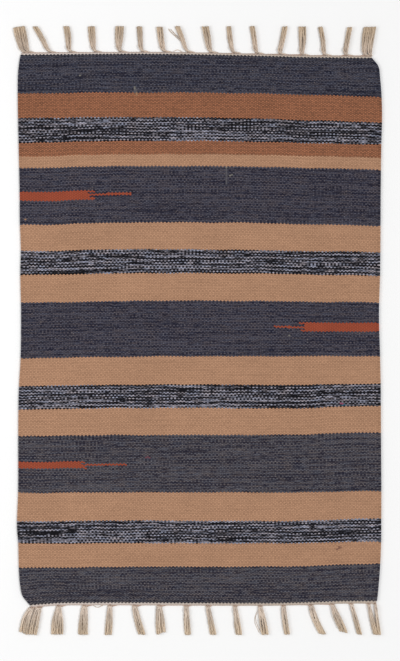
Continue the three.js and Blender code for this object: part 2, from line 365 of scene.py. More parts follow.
# Points, faces and the two maps of a piece, gathered part by part
class Gathering:
    def __init__(self):
        self.points, self.faces, self.count = [], [], 0
        self.maps = {"yarnPlace": [], "OFBake": []}

    def addPoints(self, points):
        points = np.asarray(points, float).reshape(-1, 3)
        self.points.append(points)
        self.count += len(points)
        return np.arange(self.count - len(points), self.count)

    def addFaces(self, faces, yarnPlace, bakePlace):
        self.faces.append(np.asarray(faces))
        self.maps["yarnPlace"].append(np.asarray(yarnPlace, float))
        self.maps["OFBake"].append(np.asarray(bakePlace, float))

    def addGrid(self, index, yarnPlace, bakePlace):
        def corners(grid, *more):
            around = [grid[:-1, :-1], grid[:-1, 1:], grid[1:, 1:], grid[1:, :-1]]
            return np.stack(around, 2).reshape(-1, 4, *more)

        self.addFaces(corners(index), corners(yarnPlace, 2), corners(bakePlace, 2))

    def toPiece(self, name, material):
        mesh = bpy.data.meshes.new(name)
        points = (np.concatenate(self.points) + (shiftX, shiftY, 0)) * mm
        mesh.vertices.add(len(points))
        mesh.vertices.foreach_set("co", points.ravel())
        sizes = np.concatenate([np.full(len(f), f.shape[1]) for f in self.faces])
        mesh.loops.add(int(sizes.sum()))
        mesh.loops.foreach_set("vertex_index", np.concatenate([f.ravel() for f in self.faces]))
        mesh.polygons.add(len(sizes))
        mesh.polygons.foreach_set("loop_start", np.cumsum(sizes) - sizes)
        for mapName, parts in self.maps.items():
            layer = mesh.uv_layers.new(name=mapName)
            layer.uv.foreach_set("vector", np.concatenate([p.ravel() for p in parts]).astype(np.float32))
        mesh.materials.append(material)
        mesh.update(calc_edges=True)
        mesh.validate()
        outward = bmesh.new()
        outward.from_mesh(mesh)
        bmesh.ops.recalc_face_normals(outward, faces=outward.faces)
        outward.to_mesh(mesh)
        outward.free()
        mesh.polygons.foreach_set("use_smooth", np.ones(len(mesh.polygons), bool))
        piece = bpy.data.objects.new(name, mesh)
        bpy.context.scene.collection.objects.link(piece)
        print(f"{name}: {int((sizes - 2).sum())} triangles")
        return piece


# Weft-faced plain weave: which warp and which pick shows at each place, and how high its yarn stands there
weave = {
    "interlock": 0.2,  # share of a warp by which each turn of weft bulges past its column
    "roundAcross": 3.3,
    "roundAlong": 0.9,
    "plyTurns": 3.2,
    "plySlant": 1.1,
    "plyHigh": 0.07,
    "fuzz": (5.0, 3.5),  # waves to a warp and to a pick
    "fuzzDetail": 2.0,
    "fuzzHigh": 0.12,
    "fuzzTone": (0.93, 1.07),
    "creaseShade": (0.15, 0.85),  # heights of a bead of weft between which painted shade darkens its edge
    # how dark the painted shade is in the creases and off them
    "creaseShadeTone": (0.5, 1.0),
    "paintedShadeSpan": (0.3, 0.95),  # heights between which a yarn's painted shade and painted highlight run
    "bumpHigh": 0.55,
    "surface": {"Roughness": 0.92, "Specular IOR Level": 0.15, "Sheen Weight": 0.12, "Sheen Roughness": 0.5},
}


class WovenPaint(Paint):
    def __init__(self, name):
        super().__init__(name)
        self.warp, along = self.yarnPlace()
        self.along = self.less(along, 0.5)
        warpTurn = self.calc("COSINE", self.times(self.warp, math.pi))
        pickTurn = self.calc("COSINE", self.times(self.along, math.pi))
        bulged = self.timesPlus(self.times(warpTurn, pickTurn), weave["interlock"], self.warp)
        self.column = self.calc("FLOOR", bulged)
        across = self.less(self.less(bulged, self.column), 0.5)
        odd = self.calc("FLOORED_MODULO", self.column, 2.0)
        half = self.calc("ROUND", self.times(self.calc("ADD", self.along, odd), 0.5))
        self.pick = self.less(self.times(half, 2.0), odd)
        off = self.less(self.along, self.pick)
        roundAcross = self.timesPlus(self.calc("POWER", across, 2.0), -weave["roundAcross"], 1.0)
        roundAlong = self.timesPlus(self.calc("POWER", off, 2.0), -weave["roundAlong"], 1.0)
        self.bead = self.calc("SQRT", self.times(roundAcross, roundAlong))
        slant = self.timesPlus(across, weave["plyTurns"], self.times(off, weave["plySlant"]))
        ply = self.times(self.calc("SINE", self.times(slant, 2 * math.pi)), self.bead)
        self.fuzz = self.noise(self.warp, self.along, weave["fuzz"], weave["fuzzDetail"])
        height = self.timesPlus(ply, weave["plyHigh"], self.bead)
        self.height = self.timesPlus(self.fuzz, weave["fuzzHigh"], height)

    # Painted shade in the creases between the beads and painted highlight on top of them
    def paintBeadShade(self, colour, tones):
        return self.shaded(colour, self.stretch(self.bead, *weave["paintedShadeSpan"], *tones))

    def finishWeave(self, colour):
        # painted shade in the creases between the beads, times the fibres' own random tone
        creaseShade = self.stretch(self.bead, *weave["creaseShade"], *weave["creaseShadeTone"])
        fuzz = self.stretch(self.fuzz, *self.noiseSpan, *weave["fuzzTone"])
        return self.finish(self.shaded(colour, self.times(creaseShade, fuzz)), self.height, weave)


# The wefts of the stripes
wefts = {
    "slateTop": {"dark": dye(25, 25, 43), "light": dye(76, 75, 86)},
    "slate": {"dark": dye(28, 27, 45), "light": dye(79, 76, 86)},
    "slateLow": {"dark": dye(33, 30, 46), "light": dye(89, 86, 92)},
    "fleck": dye(132, 126, 124),
    "ink": dye(11, 9, 17),
    "chalk": dye(161, 159, 172),
    "rust": dye(168, 110, 80),
    "tan": dye(193, 148, 117),
    "orange": dye(165, 79, 55),
    "tanShade": dye(173, 131, 103),
    "rustShade": dye(137, 91, 67),
    "coolCast": (0.92, 1.0, 1.09, 1.0),  # what uneven dyeing does to slate and marl
    "warmCast": (1.09, 1.0, 0.92, 1.0),
    # stray fibres spun into the yarns
    "pale": dye(122, 119, 114),
    "ash": dye(90, 88, 94),
    "straw": dye(164, 126, 96),
    "umber": dye(144, 104, 86),
    "crimson": dye(114, 74, 84),
    "pink": dye(152, 84, 112),
    "teal": dye(56, 96, 116),
}

# How dark the painted shade makes a yarn in the creases between its beads, and how light the painted
# highlight makes it on top of them
paintedBeadShading = {"slate": (0.3, 1.29), "marl": (0.4, 1.25), "rust": (0.52, 1.08), "orange": (0.7, 1.03)}

# Unevenness of the wefts: waves to a warp and to a pick, detail, then what of the noise counts and, for the
# last two, how much darker and lighter the yarn gets
uneven = {
    "fleck": ((1.1, 1.5), 0.0, (0.79, 0.88)),
    "dyed": ((0.12, 0.9), 1.0, (0.38, 0.62)),
    "broad": ((0.05, 0.03), 1.0, (0.3, 0.7, 0.97, 1.03)),
    "spun": ((0.16, 7.31), 0.0, (0.3, 0.7, 0.96, 1.04)),
}

# How the two shades of a weft take turns: turns a pick, the share of the second shade, how fast the turns
# drift along a pick and from pick to pick and by how much, how uneven the picks are, how much each yarn
# changes from warp to warp and in thin streaks along itself, how soft the change of shade is, and how far
# away in the noise the weft reads, so that no two look alike
throws = {
    "marl": {"every": 0.27, "share": 0.28, "drift": (0.016, 0.06), "turns": 1.5, "uneven": 0.7, "dash": 1.3,
             "streak": 3.2, "edge": 0.75, "away": 0.0},
    "slate": {"every": 0.3, "share": 0.42, "drift": (0.014, 0.06), "turns": 1.4, "uneven": 0.8, "dash": 1.4,
              "streak": 4.0, "edge": 0.9, "away": 40.0},
    "tan": {"every": 0.32, "share": 0.4, "drift": (0.02, 0.04), "turns": 1.2, "uneven": 0.3, "dash": 1.6,
            "streak": 1.5, "edge": 0.8, "away": 80.0},
    "rust": {"every": 0.283, "share": 0.4, "drift": (0.02, 0.03), "turns": 1.2, "uneven": 0.2, "dash": 3.0,
             "streak": 1.5, "edge": 0.9, "away": 120.0},
}
# their waves to a warp and to a pick, and the detail of the drift
throwWaves = {"pick": 9.13, "dash": (0.46, 7.37), "streak": (0.22, 1.35), "detail": 1.0}

# Short tapestry bars that run in from a side: the stripe they lie in, then rows of
# first pick, last pick, first warp and last warp, the picks counted from the stripe's upper edge
bars = [
    (5, [(29, 30, 0, 40), (31, 32, 0, 36), (33, 34, 0, 60), (32, 32, 48, 60), (35, 36, 0, 37),
         (37, 39, 0, 40)]),
    (9, [(26, 27, 154, 197), (28, 30, 157, 197), (31, 32, 148, 197), (30, 31, 140, 148),
         (33, 34, 157, 197), (35, 36, 155, 197)]),
    (13, [(32, 33, 0, 35), (34, 35, 0, 33), (36, 38, 0, 35), (35, 36, 36, 58), (39, 39, 0, 35),
          (40, 40, 36, 37)]),
]
rowReach = 0.4  # how far a row reaches past the middle of its outer picks and warps

# Specks of stray fibre: the stripe, its row as in the bars, and the colour
specks = [
    (0, (25, 25, 32, 33), "pale"), (0, (38, 41, 63, 63), "pale"), (0, (42, 45, 63, 64), "ash"),
    (1, (0, 3, 64, 64), "straw"), (5, (0, 1, 113, 113), "pale"), (5, (2, 22, 113, 113), "ash"),
    (5, (10, 11, 115, 116), "pale"), (5, (62, 62, 1, 2), "straw"), (9, (42, 42, 148, 149), "pale"),
    (11, (25, 26, 176, 177), "pink"), (11, (27, 28, 177, 178), "teal"), (13, (26, 27, 69, 71), "crimson"),
    (16, (5, 6, 175, 176), "umber"), (16, (7, 8, 174, 175), "umber"),
]


# One colour for each stripe from the upper end down, picked by the number of the stripe
def perStripe(paint, stripe, colourOf):
    node = paint.add("ValToRGB")
    ramp = node.color_ramp
    ramp.interpolation = "CONSTANT"
    count = len(cloth["stripes"])
    for i in range(count):
        at = ramp.elements[i] if i < 2 else ramp.elements.new(1.0)
        at.position = max(0, (i - 0.5) / count)
        at.color = colourOf(cloth["stripes"][i][0])
    paint.feed(node.inputs[0], paint.calc("DIVIDE", stripe, float(count)))
    return node.outputs[0]


# Two shades thrown by turns: the turns drift in and out of step, so lines fork, break up and dot the weave.
# Gives 0 for the first shade and 1 for the second.
def thrownByTurns(paint, throw):
    column, pick, away = paint.column, paint.pick, throw["away"]
    alongPick, acrossPicks = throw["drift"]
    slow = paint.timesPlus(column, alongPick, away)
    drift = paint.noise(slow, pick, (1, acrossPicks), throwWaves["detail"])
    own = paint.noise(slow, pick, (1, throwWaves["pick"]))
    turn = paint.timesPlus(drift, throw["turns"], paint.times(own, throw["uneven"]))
    turn = paint.timesPlus(pick, throw["every"], turn)
    wave = paint.calc("COSINE", paint.times(turn, 2 * math.pi))
    acrossWaves, alongWaves = throwWaves["dash"]
    dash = paint.noise(paint.timesPlus(column, acrossWaves, away), pick, (1, alongWaves))
    wave = paint.timesPlus(paint.less(dash, 0.5), throw["dash"], wave)
    acrossWaves, alongWaves = throwWaves["streak"]
    streak = paint.noise(paint.warp, paint.timesPlus(paint.along, alongWaves, away), (acrossWaves, 1))
    wave = paint.timesPlus(paint.less(streak, 0.5), throw["streak"], wave)
    middle = math.cos(math.pi * throw["share"])
    return paint.stretch(wave, middle - throw["edge"], middle + throw["edge"])


# 1 on the picks and warps of a row, counted from a stripe's upper edge, and 0 elsewhere
def coveredBy(paint, stripe, row):
    inside = []
    for value, start, first, last in (
        (paint.pick, float(pickEdges[stripe]), row[0], row[1]), (paint.column, 0, row[2], row[3]),
    ):
        middle, reach = start + (first + last) / 2, (last - first) / 2 + rowReach
        inside.append(paint.calc("COMPARE", value, middle, reach))
    return paint.times(*inside)


def unevenBy(paint, name, along):
    scale, detail, span = uneven[name]
    return paint.stretch(paint.noise(paint.warp, along, scale, detail), *span)


def stripedMaterial():
    paint = WovenPaint("stripedWeft")
    stripe = 0.0
    for edge in pickEdges[1:-1]:
        stripe = paint.calc("ADD", stripe, paint.calc("GREATER_THAN", paint.pick, float(edge) - 0.5))
    black, white = (0.0, 0.0, 0.0, 1.0), (1.0, 1.0, 1.0, 1.0)

    def thrown(yarn, first, second):
        return paint.mixed(thrownByTurns(paint, throws[yarn]), first, second)

    # slate is two close shades, grey and blue-black, with a pale fleck here and there
    dark, light = (
        perStripe(paint, stripe, lambda yarn: wefts[yarn][shade] if "slate" in yarn else black)
        for shade in ("dark", "light"))
    slate = paint.mixed(unevenBy(paint, "fleck", paint.along), thrown("slate", light, dark), wefts["fleck"])
    slate = paint.paintBeadShade(slate, paintedBeadShading["slate"])

    # marl is black with a little over a quarter of white
    marl = paint.paintBeadShade(thrown("marl", wefts["ink"], wefts["chalk"]), paintedBeadShading["marl"])

    # both are dyed a little unevenly, warmer in some lengths of yarn and cooler in others
    cast = paint.mixed(unevenBy(paint, "dyed", paint.along), wefts["coolCast"], wefts["warmCast"])
    slate = paint.mixed(1.0, slate, cast, "MULTIPLY")
    marl = paint.mixed(1.0, marl, cast, "MULTIPLY")

    # tan and rust are one dye each, a little deeper in some throws
    colour = thrown("tan", wefts["tan"], wefts["tanShade"])
    rust = paint.paintBeadShade(thrown("rust", wefts["rust"], wefts["rustShade"]), paintedBeadShading["rust"])
    for name, weft in (("rust", rust), ("slate", slate), ("marl", marl)):
        here = perStripe(paint, stripe, lambda yarn: white if name in yarn else black)
        colour = paint.mixed(here, colour, weft)

    inBar = 0.0
    for which, rows in bars:
        for row in rows:
            inBar = paint.calc("MAXIMUM", inBar, coveredBy(paint, which, row))
    colour = paint.mixed(inBar, colour, paint.paintBeadShade(wefts["orange"], paintedBeadShading["orange"]))
    for which, row, fibre in specks:
        colour = paint.mixed(coveredBy(paint, which, row), colour, wefts[fibre])
    patch = unevenBy(paint, "broad", paint.along)
    spin = unevenBy(paint, "spun", paint.pick)
    return paint.finishWeave(paint.shaded(colour, paint.times(patch, spin)))


# The woven cloth is one closed mesh, with a rib for each warp and a wrapped selvedge along each side
clothBake = {
    "margin": 0.015,
    "end": 0.004,
    "nominalWide": 600.0,
    "endStrips": [(0.9965, 0.9995), (0.0035, 0.0005)],
    # the round ends of the selvedges: how far in, how large, and how far along at each end
    "tipIn": 0.006,
    "tipSize": (0.004, 0.0015),
    "tipAlong": (0.998, 0.002),
}


def clothBakePlace(share, picks):
    across = clothBake["margin"] + (1 - 2 * clothBake["margin"]) * np.asarray(share, float)
    along = clothBake["end"] + (1 - 2 * clothBake["end"]) * (1 - np.asarray(picks, float) / allPicks)
    return together(across, along)


# One selvedge: a row of points round it for each pick
def addSelvedge(g, side, picks):
    half, mid = cloth["selvedgeWide"] / 2, cloth["selvedgeHigh"] / 2
    turns = np.radians(np.arange(315, 0, -45))  # from under the edge round to above it
    dip = cloth["wrapDip"] * 0.5 * (1 - np.cos(math.pi * (picks - 0.5 - side)))
    pull = 1 - dip[:, None]
    reach = np.full((len(picks), len(turns) + 2), cloth["selvedgeIn"])
    reach[:, 1:-1] = half + half * np.cos(turns) * pull
    high = np.empty_like(reach)
    high[:, 1:-1] = mid + mid * np.sin(turns) * pull
    high[:, 0], high[:, -1] = cloth["grooveLow"], cloth["grooveHigh"]
    rows = np.broadcast_to(picks[:, None], reach.shape)
    x, y = clothPlace(lambda wide: reach if side == 0 else wide - reach, rows)
    index = g.addPoints(together(x, y, high)).reshape(reach.shape)
    around = np.linspace(0, 1, reach.shape[1])
    across = cloth["wrapEdge"] + (1 - 2 * cloth["wrapEdge"]) * around
    yarnPlace = together(across if side == 0 else lastWarp + 1 - across, rows)
    groove = clothBakePlace(cloth["selvedgeIn"] / clothBake["nominalWide"], 0)[0]
    bakeAcross = around * groove if side == 0 else 1 - around * groove
    bake = together(bakeAcross, clothBakePlace(0, rows)[..., 1])
    g.addGrid(index, yarnPlace, bake)
    for end, tipAt in zip((0, -1), clothBake["tipAlong"]):
        spot = together(*oval(len(around), abs(side - clothBake["tipIn"]), tipAt, *clothBake["tipSize"]))
        g.addFaces(index[end][None], yarnPlace[end][None], spot[None])
    return index


# One face of the cloth, its edge columns stitched to the rows of the selvedges
def addFace(g, selvedges, edge, perWarp, picks, rows, heightAt):
    place = 1 + np.arange(cloth["warps"] * perWarp + 1) / perWarp
    inWarp = (np.arange(len(place)) % perWarp) / perWarp
    along = np.repeat(picks[rows][:, None], len(place), 1)
    tooth = np.where(inWarp > 0, np.where(np.floor(place) % 2 == 1, 0.5, -0.5), 0)
    along[0] += tooth
    along[-1] -= tooth
    x, y = warpPlace(place[None], along)
    z = heightAt(np.sin(math.pi * inWarp) ** cloth["ribFullness"], x, y)
    index = np.zeros(x.shape, int)
    points = together(x, y, z)
    index[:, 1:-1] = g.addPoints(points[:, 1:-1]).reshape(len(x), -1)
    index[:, 0], index[:, -1] = selvedges[0][rows, edge], selvedges[1][rows, edge]
    groove = cloth["selvedgeIn"] / clothBake["nominalWide"]
    share = groove + (place - 1) / cloth["warps"] * (1 - 2 * groove)
    yarnPlace = together(place[None], along)
    bake = clothBakePlace(share[None], along)
    g.addGrid(index[:, 1:-1], yarnPlace[:, 1:-1], bake[:, 1:-1])
    stitches = []
    for selvedge, column, edgeColumn in ((selvedges[0], 1, 0), (selvedges[1], -2, -1)):
        for k in range(len(rows) - 1):
            onFace = [(index[i, column], *yarnPlace[i, column], *bake[i, column]) for i in (k, k + 1)]
            onRib = []
            for row in range(rows[k], rows[k + 1] + 1):
                spot = clothBakePlace(share[edgeColumn], picks[row])
                onRib.append((selvedge[row, edge], place[edgeColumn], picks[row], *spot))
            middle = len(onRib) // 2
            for m in range(len(onRib) - 1):
                stitches.append((onFace[0] if m < middle else onFace[1], onRib[m], onRib[m + 1]))
            stitches.append((onFace[0], onRib[middle], onFace[1]))
    stitches = np.array(stitches)
    g.addFaces(stitches[..., 0].astype(int), stitches[..., 1:3], stitches[..., 3:5])
    return index, yarnPlace, bake


# The cut end between the two faces, which the heading covers
def addEnd(g, over, under, end, strip):
    def corners(top, bottom):
        return np.stack([top[:-2:2], top[1:-1:2], top[2::2], bottom[1:], bottom[:-1]], 1)

    top, bottom = [part[end] for part in over], [part[end] for part in under]
    topBake, bottomBake = (together(part[2][:, 0], at) for part, at in zip((top, bottom), strip))
    g.addFaces(corners(top[0], bottom[0]), corners(top[1], bottom[1]), corners(topBake, bottomBake))


def overHeight(rib, x, y):
    swell = cloth["unevenness"] * gentleWaves(x, y, *cloth["unevenWaves"])
    return cloth["thick"] - cloth["ribRelief"] * (1 - rib) + swell


def underHeight(rib, x, y):  # flat on the floor but for its ribs
    return cloth["underRelief"] * (1 - rib)


def makeCloth():
    g = Gathering()
    picks = np.concatenate([[0], np.arange(allPicks) + 0.5, [allPicks]])
    step = cloth["picksPerRow"]
    rows = np.concatenate([np.arange(0, allPicks - step // 2, step), [len(picks) - 1]])
    selvedges = [addSelvedge(g, side, picks) for side in (0, 1)]
    perWarp = cloth["pointsPerWarp"]
    over = addFace(g, selvedges, -1, perWarp["over"], picks, rows, overHeight)
    under = addFace(g, selvedges, 0, perWarp["under"], picks, rows, underHeight)
    for end, strip in zip((0, -1), clothBake["endStrips"]):
        addEnd(g, over, under, end, strip)
    return g.toPiece("woven_cloth", stripedMaterial())


# The headings: a few cream picks that go on from the stripes and hold the warps before they are knotted
heading = {
    # picks past the end of the stripes, height
    "rows": [
        (-1.0, 2.9), (-0.4, 3.2), (0.3, 3.45), (0.9, 3.5), (1.5, 3.3), (2.0, 2.8), (2.5, 2.3), (2.9, 1.4),
    ],
    "foot": 0.15,
    "relief": 0.3,
    "firstWarp": 0.3,
    "pointsPerWarp": 4,
    "wider": {"upper": 1.0, "lower": 1.2},
    # the bake map: rows of warps, how much of a row and of a warp's spot is filled, and its two ends' spots
    "bakeRows": 14,
    "bakeFill": (0.97, 0.95),
    "bakeEdge": 0.04,
    "bakeEnds": ((0, 0.982), (-1, 0.993)),
    "bakeEndSize": (0.004, 0.02),
}


def endName(end):
    return "upper" if end > 0 else "lower"


# The pick that lies so many picks of the upper heading's size past the stripes
def pastEnd(end, past):
    past = past * heading["wider"][endName(end)]
    return -past if end > 0 else allPicks + past


def makeHeading(name, end, material):
    g = Gathering()
    perWarp = heading["pointsPerWarp"]
    inner = 1 + np.arange(cloth["warps"] * perWarp + 1) / perWarp
    warps = np.concatenate([[heading["firstWarp"]], inner, [lastWarp + 1 - heading["firstWarp"]]])
    inWarp = ((inner * perWarp) % perWarp) / perWarp
    rib = np.concatenate([[0], np.sin(math.pi * inWarp) ** cloth["ribFullness"], [0]])
    past = np.array([row[0] for row in heading["rows"]])
    high = np.array([row[1] for row in heading["rows"]])
    past = np.concatenate([past, [past[-1], past[0], past[0]]])
    high = np.concatenate([high, [heading["foot"], heading["foot"], high[0]]])
    x, y = warpPlace(warps[None], pastEnd(end, past[:, None]))
    z = np.repeat(high[:, None], len(warps), 1)
    z[:-3] -= heading["relief"] * (1 - rib)
    z[-1] = z[0]
    count = len(past) - 1
    index = g.addPoints(together(x, y, z)[:count]).reshape(count, -1)
    index = np.vstack([index, index[:1]])
    lengths = np.hypot(np.diff(past), np.diff(high) / cloth["pickPitch"])
    girth = past[0] + np.concatenate([[0], np.cumsum(lengths)])
    yarnPlace = together(warps[None], pastEnd(end, girth[:, None]))
    share = (girth - girth[0]) / (girth[-1] - girth[0])
    perRow = (lastWarp + 1) / heading["bakeRows"]
    rowFill, spotFill = heading["bakeFill"]
    edge = heading["bakeEdge"]
    for start in range(0, len(warps) - 1, perWarp):  # each warp has a spot of its own in the bake map
        piece = slice(start, min(start + perWarp, len(warps) - 1) + 1)
        row, inRow = divmod(warps[piece][0] / perRow, 1)
        across = inRow * rowFill + (warps[piece] - warps[piece][0]) / perRow * spotFill
        up = (row + edge + (1 - 2 * edge) * share[:, None]) / heading["bakeRows"]
        bake = together(across[None], up)
        g.addGrid(index[:, piece], yarnPlace[:, piece], bake)
    for column, spotAt in heading["bakeEnds"]:
        spot = together(*oval(count, spotAt, 0.5, *heading["bakeEndSize"]))
        g.addFaces(index[:-1, column][None], yarnPlace[:-1, column][None], spot[None])
    return g.toPiece(name, material)


# The cream wefts of the headings, which grow darker towards the right between two warps, and a brown line of
# painted shade where the last picks are beaten over the warps
creams = {"lighterCream": dye(227, 213, 204), "darkerCream": dye(211, 196, 182), "darkerFrom": (45.0, 125.0)}
# The seam line is painted shade: deepest in the creases between the beads and weaker on the lower heading
seamShadeLine = {
    "colour": dye(142, 98, 88),
    "at": 2.3,  # picks past the stripes
    "edge": (0.216, 0.504),  # how far from its middle it begins to fade and ends
    "tone": 0.95,
    "waves": 0.4,
    "stray": 0.5,
    "beads": (0.3, 0.9),
    "onRibs": 0.45,
    "onLower": 0.45,
    "lowerFrom": (-9.0, -8.0),  # picks past the stripes between which the lower heading's share sets in
}


def headingMaterial():
    paint = WovenPaint("creamWeft")
    before = paint.timesPlus(paint.along, -1.0, -0.5)
    after = paint.less(paint.along, allPicks - 0.5)
    past = paint.calc("MAXIMUM", before, after)
    stray = paint.times(paint.noise(paint.warp, 0.0, (seamShadeLine["waves"], 1)), seamShadeLine["stray"])
    off = paint.calc("ABSOLUTE", paint.less(paint.calc("ADD", past, stray), seamShadeLine["at"]))
    # painted shade along the seam, lighter on top of the beads
    seamShade = paint.stretch(off, *seamShadeLine["edge"], seamShadeLine["tone"], 0.0)
    seamShade = paint.times(seamShade, paint.stretch(paint.bead, *seamShadeLine["beads"], 1.0, seamShadeLine["onRibs"]))
    byEnd = paint.stretch(after, *seamShadeLine["lowerFrom"], 1.0, seamShadeLine["onLower"])
    darkerCream = paint.stretch(paint.warp, *creams["darkerFrom"])
    cream = paint.mixed(darkerCream, creams["lighterCream"], creams["darkerCream"])
    return paint.finishWeave(paint.mixed(paint.times(seamShade, byEnd), cream, seamShadeLine["colour"]))


# The fringes: warp ends drawn together from along the heading, knotted and cut to one line.
# First the yarns, and where they lie in the bake map
twine = {
    "sides": 8,
    "lap": 14.0,  # length of one turn of the plies
    "groove": 0.14,
    "threadTaper": (0.7, 1, 1, 0.5),
    "threadSteps": 5,
    # kinds of yarn in the bake map: strands, then two for the knots and two for the fans
    "tiles": 12,
    "strandTiles": 8,
    "knotTiles": (8, 10),
    "fanTiles": (10, 12),
    "tileLong": 70.0,
    "tileEdge": (0.04, 0.01),  # share of a tile left out around and along a yarn
    "capSpot": (0.3, 0.4),  # half the size of a cut end's oval in a tile
    "capInside": 1.5,  # how many of its half lengths it keeps from the tile's end
}


# Where a spot on a yarn lies in both maps: its tile, its share around the yarn and its length along it
def yarnSpot(tile, around, along):
    side, end = twine["tileEdge"]
    across = (tile + side + (1 - 2 * side) * np.asarray(around, float)) / twine["tiles"]
    up = end + (1 - 2 * end) * np.asarray(along, float) / twine["tileLong"]
    return together(across, up)


# A closed yarn along a path; plied makes its two plies turn about each other
def addYarn(g, path, radius, sides, tile, up=(0, 0, 1), plied=False, start=0.0, turned=0.0):
    path = np.asarray(path, float)
    ahead = np.gradient(path, axis=0)
    ahead /= np.linalg.norm(ahead, axis=1, keepdims=True)
    aside = np.cross(ahead, up)
    aside /= np.linalg.norm(aside, axis=1, keepdims=True)
    lift = np.cross(aside, ahead)
    gone = np.concatenate([[0], np.cumsum(np.linalg.norm(np.diff(path, axis=0), axis=1))])
    around = np.arange(sides + 1) / sides
    angle = 2 * math.pi * around[None]
    width = np.broadcast_to(np.asarray(radius, float), len(path))[:, None] * np.ones_like(angle)
    if plied:
        angle = angle + 2 * math.pi * gone[:, None] / twine["lap"] + turned
        groove = twine["groove"]
        width = width * (1 - groove + groove * np.cos(4 * math.pi * around))[None]
    ring = np.cos(angle)[..., None] * aside[:, None] + np.sin(angle)[..., None] * lift[:, None]
    points = path[:, None] + width[..., None] * ring
    index = g.addPoints(points[:, :-1]).reshape(len(path), sides)
    index = np.hstack([index, index[:, :1]])
    spots = yarnSpot(tile, around[None], start + gone[:, None])
    g.addGrid(index, spots, spots)
    wide, long = twine["capSpot"]
    for row in (0, -1):
        capAt = max(start + gone[row], twine["capInside"] * long)
        spot = yarnSpot(tile, *oval(sides, 0.5, capAt, wide, long))
        g.addFaces(index[row, :-1][None], spot[None], spot[None])


# A yarn whose two plies begin anywhere in their turn
def addPlied(g, draw, path, radius, tile, up=(0, 0, 1)):
    addYarn(g, path, radius, twine["sides"], tile, up, plied=True, turned=draw.uniform(0, 6))


def addThread(g, draw, corners, radius, tile):
    last = len(corners) - 1
    steps = np.linspace(0, last, twine["threadSteps"] * last + 1)
    rows = [(k, *corner) for k, corner in enumerate(corners)]
    path = together(*(readTable(rows, column, steps) for column in (1, 2, 3)))
    size = radius * np.interp(steps, [0, 1, last - 0.5, last], twine["threadTaper"])
    addPlied(g, draw, path, size, tile)


# How the bunches lie
fringe = {
    "headingWide": {"upper": 4.0, "lower": 4.8},  # from the stripes to the heading's outer edge
    "begin": {"upper": 0.5, "lower": 0.4},  # from there to where the strands come out of the knot
    "trimLine": 503.7,  # from the middle of the rug
    "neck": 0.14,  # share of the length in which a bunch leaves its knot
    "drawnIn": {"upper": 0.5, "lower": 0.8},
    "openedAt": 0.6,  # share of the length in which it then opens
    "sweep": {"upper": 3.0, "lower": 0.0},  # how far the knot leans to the right of its bunch
    "sweepLong": 1.3,  # in necks
}

# One row for each bunch: where its knot and its cut tip stand across the rug, how wide it is at the tip
# and at the knot, how far its middle bows sideways and how much shorter its left and right side are cut
bunches = {
    "upper": [
        (-293.3, -304, 10.5, 8.5, -0.5, 3.2, 0.8), (-285, -294, 10.5, 8.5, 0.3, 0.4, 0),
        (-250, -271.5, 10, 8, 0.8, 0.6, 0.6), (-216.5, -220.3, 10.5, 8, 1.2, 0, 0),
        (-175, -179, 12, 8, -0.5, 0.2, 0.2), (-133.5, -132, 14, 9, -0.3, 0, 0),
        (-97, -99.6, 9.5, 8, 0.3, 0.4, 0.4), (-60, -66, 10.5, 9, -0.5, 1, 1),
        (-21.5, -36.5, 8.5, 6.5, 0.5, 0, 0),
        (17, 9.5, 11.5, 9, 0.3, 0.3, 0.3), (54.5, 48, 9, 7.5, -0.3, 0, 0), (93.5, 87, 8.5, 8, 0.5, 0, 0),
        (131.7, 141.5, 9, 8.5, 0.5, 0.5, 0.5), (168.5, 169.8, 12.5, 9, 1.2, 0.6, 0.6),
        (205.5, 200, 8, 8, 1.5, 0.9, 0.9), (240.8, 248.6, 8.5, 8.5, -0.5, 1.5, 1.5),
        (272.6, 276.6, 11, 8.5, -1, 1.5, 1.5), (281, 287, 11, 8.5, -1, 1.5, 1.2),
    ],
    "lower": [
        (-278.3, -291.3, 15, 12.5, -2.6, 7, 0.6), (-266.5, -276, 15, 12.5, -0.8, 0.4, 0.4),
        (-233.3, -235.7, 20, 11, -0.5, 1, 1), (-190.5, -192.6, 16.5, 12, -0.6, 0.5, 0.5),
        (-148.3, -151, 12, 9, 0.2, 0, 0), (-107.8, -95.4, 12.5, 10.5, -1, 0.6, 0.6),
        (-67, -63.5, 15.5, 11, -0.3, 0.4, 5.5), (-22.3, -19.3, 10.5, 9.5, -0.5, 0, 0),
        (13.6, 22.8, 10.5, 8.5, -0.5, 0, 0), (58.5, 65, 11.5, 9, -0.3, 0.3, 0.3),
        (100.2, 108.3, 12.5, 9, 0.3, 0.5, 0.5), (138.8, 145, 10, 9, -0.6, 0.7, 0.7),
        (184.5, 203.5, 12, 10.5, -2, 2, 0.8), (219.6, 237.5, 15.5, 9.5, -0.5, 9.5, 3.5),
        (251.2, 265, 9, 7.5, 0.3, 1.6, 0.2), (280, 292, 9, 6, -0.3, 0.2, 0.2),
        (291.3, 297.8, 6, 5, -0.4, 0, 0),
    ],
}


# A wave in so many turns over the length t
def waveAlong(t, waves, phase):
    return np.sin(2 * math.pi * waves * t + phase)


# From a share at the knot to 1 where the bunch has left it
def atNeck(t, share):
    return np.interp(t, [0, fringe["neck"]], [share, 1.0])


